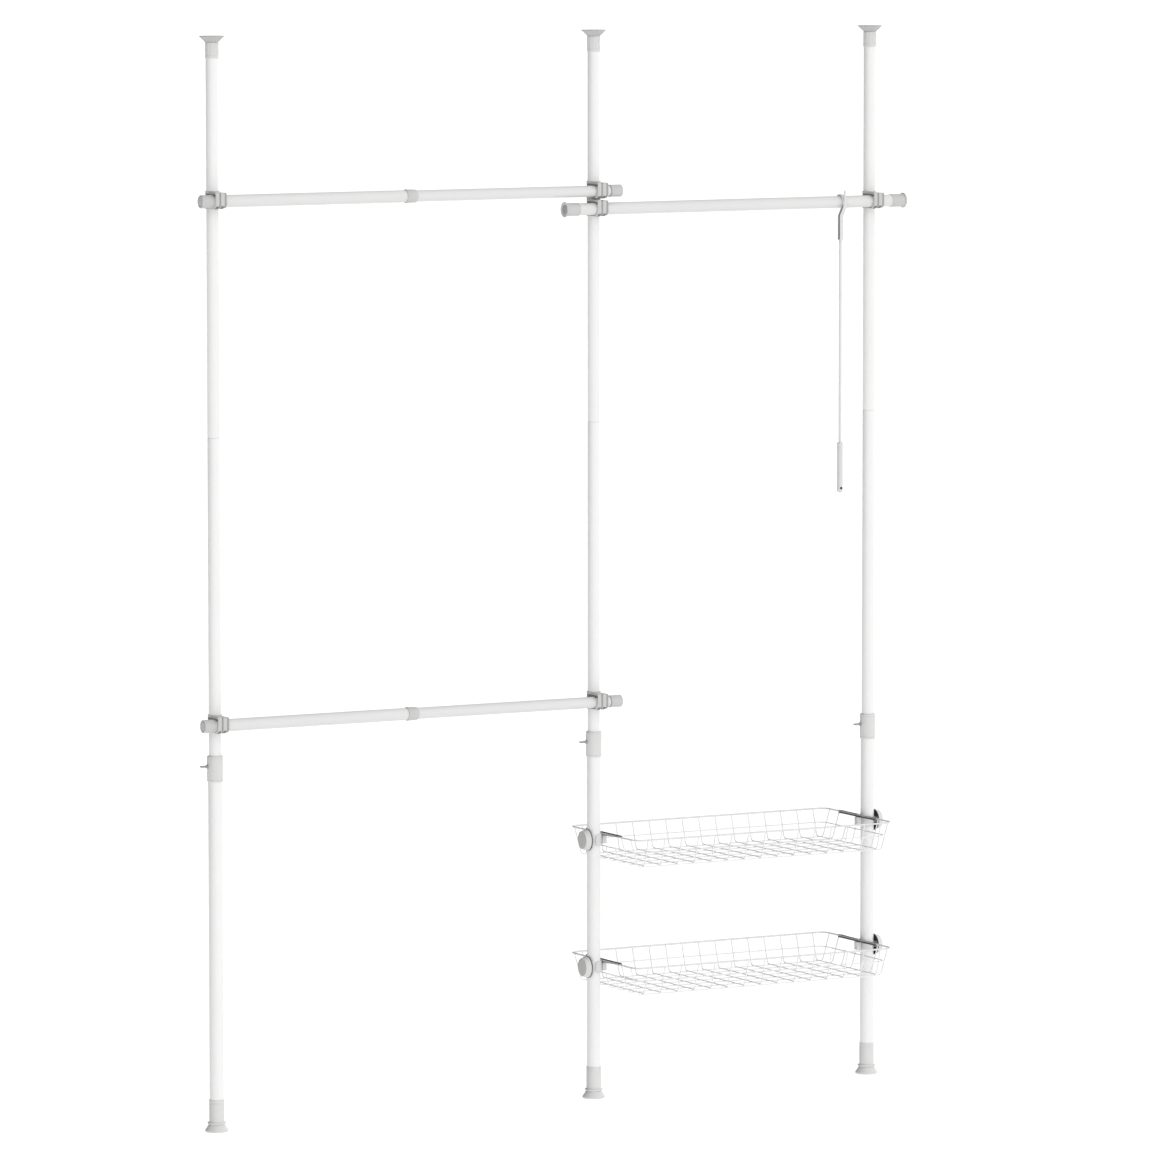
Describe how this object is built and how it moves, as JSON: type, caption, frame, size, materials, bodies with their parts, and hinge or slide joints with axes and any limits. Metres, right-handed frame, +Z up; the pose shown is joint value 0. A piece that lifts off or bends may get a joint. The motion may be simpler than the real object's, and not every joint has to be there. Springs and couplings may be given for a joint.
{
  "type": "clothes rack",
  "caption": "Floor-to-ceiling clothes rack with telescopic white poles, extending clothes rods, wire baskets on clamped rails and a hanging reach hook.",
  "frame": {"origin": "centre of the box's bottom face, on the floor, midway between the ends of the clothes rods", "axes": "+X along the clothes rods from left to right, +Y from the room toward the wall, +Z up the poles"},
  "size_m": [1.854, 0.32, 2.5],
  "materials": {
    "white_paint": "white powder coat on steel tube",
    "white_plastic": "moulded white plastic, fine matte",
    "white_wire_coating": "white coating on welded steel wire",
    "bare_steel": "plain rolled sheet steel",
    "grey_plastic": "light grey moulded plastic"
  },
  "bodies": {
    "base": {"middle_foot": "white_plastic", "middle_lower_tube": "white_paint", "middle_locking_collar": "white_plastic", "right_foot": "white_plastic", "right_lower_tube": "white_paint", "right_locking_collar": "white_plastic"},
    "upper_frame": {"middle_middle_tube": "white_paint", "middle_top_tube": "white_paint", "right_middle_tube": "white_paint", "right_top_tube": "white_paint", "upper_rod_middle_clamp": "white_plastic", "lower_rod_middle_clamp": "white_plastic", "right_rod_middle_clamp": "white_plastic", "right_rod_right_clamp": "white_plastic", "right_rod_tube": "white_paint", "right_rod_left_cap": "white_plastic", "right_rod_right_cap": "white_plastic", "upper_rod_inner_tube": "white_paint", "upper_rod_right_cap": "white_plastic", "lower_rod_inner_tube": "white_paint", "lower_rod_right_cap": "white_plastic"},
    "left_base": {"left_foot": "white_plastic", "left_lower_tube": "white_paint", "left_locking_collar": "white_plastic"},
    "left_upper": {"left_middle_tube": "white_paint", "left_top_tube": "white_paint", "upper_rod_left_clamp": "white_plastic", "lower_rod_left_clamp": "white_plastic", "upper_rod_outer_tube": "white_paint", "upper_rod_left_cap": "white_plastic", "lower_rod_outer_tube": "white_paint", "lower_rod_left_cap": "white_plastic"},
    "upper_lock": {"upper_rod_lock_collar": "white_plastic"},
    "lower_lock": {"lower_rod_lock_collar": "white_plastic"},
    "left_screw": {"left_thumb_screw": "white_plastic"},
    "middle_screw": {"middle_thumb_screw": "white_plastic"},
    "right_screw": {"right_thumb_screw": "white_plastic"},
    "left_adjuster": {"left_ceiling_adjuster": "white_plastic"},
    "middle_adjuster": {"middle_ceiling_adjuster": "white_plastic"},
    "right_adjuster": {"right_ceiling_adjuster": "white_plastic"},
    "left_cup": {"left_ceiling_cup": "white_plastic"},
    "middle_cup": {"middle_ceiling_cup": "white_plastic"},
    "right_cup": {"right_ceiling_cup": "white_plastic"},
    "upper_brackets": {"upper_left_rail": "bare_steel", "upper_left_bracket": "white_plastic", "upper_right_rail": "bare_steel", "upper_right_bracket": "white_plastic"},
    "lower_brackets": {"lower_left_rail": "bare_steel", "lower_left_bracket": "white_plastic", "lower_right_rail": "bare_steel", "lower_right_bracket": "white_plastic"},
    "upper_knob_left": {"upper_left_knob": "white_plastic"},
    "upper_knob_right": {"upper_right_knob": "white_plastic"},
    "lower_knob_left": {"lower_left_knob": "white_plastic"},
    "lower_knob_right": {"lower_right_knob": "white_plastic"},
    "upper_basket": {"upper_basket": "white_wire_coating"},
    "lower_basket": {"lower_basket": "white_wire_coating"},
    "reach_hook": {"hook_head": "grey_plastic", "hook_rod": "white_paint", "hook_handle": "white_plastic"}
  },
  "joints": [
    {"name": "height", "type": "slide", "parent": "base", "child": "upper_frame", "axis": [0, 0, 1], "range_m": [-0.045, 0.1]},
    {"name": "left_bay_width", "type": "slide", "parent": "base", "child": "left_base", "axis": [1, 0, 0], "range_m": [-0.25, 0.21]},
    {"name": "left_height", "type": "slide", "parent": "left_base", "child": "left_upper", "axis": [0, 0, 1], "range_m": [-0.045, 0.1]},
    {"name": "upper_lock_turn", "type": "hinge", "parent": "left_upper", "child": "upper_lock", "pos_m": [-0.388, -0.0305, 2.128], "axis": [1, 0, 0], "range_deg": [0, 90]},
    {"name": "lower_lock_turn", "type": "hinge", "parent": "left_upper", "child": "lower_lock", "pos_m": [-0.388, -0.0305, 0.937], "axis": [1, 0, 0], "range_deg": [0, 90]},
    {"name": "left_screw_turn", "type": "hinge", "parent": "left_base", "child": "left_screw", "pos_m": [-0.905, 0, 0.841], "axis": [1, 0, 0], "range_deg": [0, 720]},
    {"name": "middle_screw_turn", "type": "hinge", "parent": "base", "child": "middle_screw", "pos_m": [0.081, 0, 0.841], "axis": [1, 0, 0], "range_deg": [0, 720]},
    {"name": "right_screw_turn", "type": "hinge", "parent": "base", "child": "right_screw", "pos_m": [0.827, 0, 0.841], "axis": [1, 0, 0], "range_deg": [0, 720]},
    {"name": "left_adjuster_turn", "type": "hinge", "parent": "left_upper", "child": "left_adjuster", "pos_m": [-0.881, 0, 2.468], "axis": [0, 0, 1], "range_deg": [0, 3600]},
    {"name": "middle_adjuster_turn", "type": "hinge", "parent": "upper_frame", "child": "middle_adjuster", "pos_m": [0.105, 0, 2.468], "axis": [0, 0, 1], "range_deg": [0, 3600]},
    {"name": "right_adjuster_turn", "type": "hinge", "parent": "upper_frame", "child": "right_adjuster", "pos_m": [0.851, 0, 2.468], "axis": [0, 0, 1], "range_deg": [0, 3600]},
    {"name": "left_cup_rise", "type": "slide", "parent": "left_upper", "child": "left_cup", "axis": [0, 0, 1], "range_m": [0, 0.02]},
    {"name": "middle_cup_rise", "type": "slide", "parent": "upper_frame", "child": "middle_cup", "axis": [0, 0, 1], "range_m": [0, 0.02]},
    {"name": "right_cup_rise", "type": "slide", "parent": "upper_frame", "child": "right_cup", "axis": [0, 0, 1], "range_m": [0, 0.02]},
    {"name": "upper_bracket_level", "type": "slide", "parent": "base", "child": "upper_brackets", "axis": [0, 0, 1], "range_m": [-0.12, 0.1]},
    {"name": "lower_bracket_level", "type": "slide", "parent": "base", "child": "lower_brackets", "axis": [0, 0, 1], "range_m": [-0.18, 0.05]},
    {"name": "upper_left_knob_turn", "type": "hinge", "parent": "upper_brackets", "child": "upper_knob_left", "pos_m": [0.081, 0, 0.6105], "axis": [1, 0, 0], "range_deg": [0, 1080]},
    {"name": "upper_right_knob_turn", "type": "hinge", "parent": "upper_brackets", "child": "upper_knob_right", "pos_m": [0.875, 0, 0.6105], "axis": [1, 0, 0], "range_deg": [0, 1080]},
    {"name": "lower_left_knob_turn", "type": "hinge", "parent": "lower_brackets", "child": "lower_knob_left", "pos_m": [0.081, 0, 0.3105], "axis": [1, 0, 0], "range_deg": [0, 1080]},
    {"name": "lower_right_knob_turn", "type": "hinge", "parent": "lower_brackets", "child": "lower_knob_right", "pos_m": [0.875, 0, 0.3105], "axis": [1, 0, 0], "range_deg": [0, 1080]},
    {"name": "upper_basket_lift", "type": "slide", "parent": "upper_brackets", "child": "upper_basket", "axis": [0, 0, 1], "range_m": [0, 0.05]},
    {"name": "lower_basket_lift", "type": "slide", "parent": "lower_brackets", "child": "lower_basket", "axis": [0, 0, 1], "range_m": [0, 0.05]},
    {"name": "hook_slide", "type": "slide", "parent": "upper_frame", "child": "reach_hook", "axis": [1, 0, 0], "range_m": [-0.58, 0.06]}
  ],
  "couplings": [
    {"joint": "left_height", "follows": "height", "ratio": 1},
    {"joint": "left_adjuster_turn", "follows": "left_cup_rise", "rad_per_m": 3141.6},
    {"joint": "middle_adjuster_turn", "follows": "middle_cup_rise", "rad_per_m": 3141.6},
    {"joint": "right_adjuster_turn", "follows": "right_cup_rise", "rad_per_m": 3141.6}
  ]
}
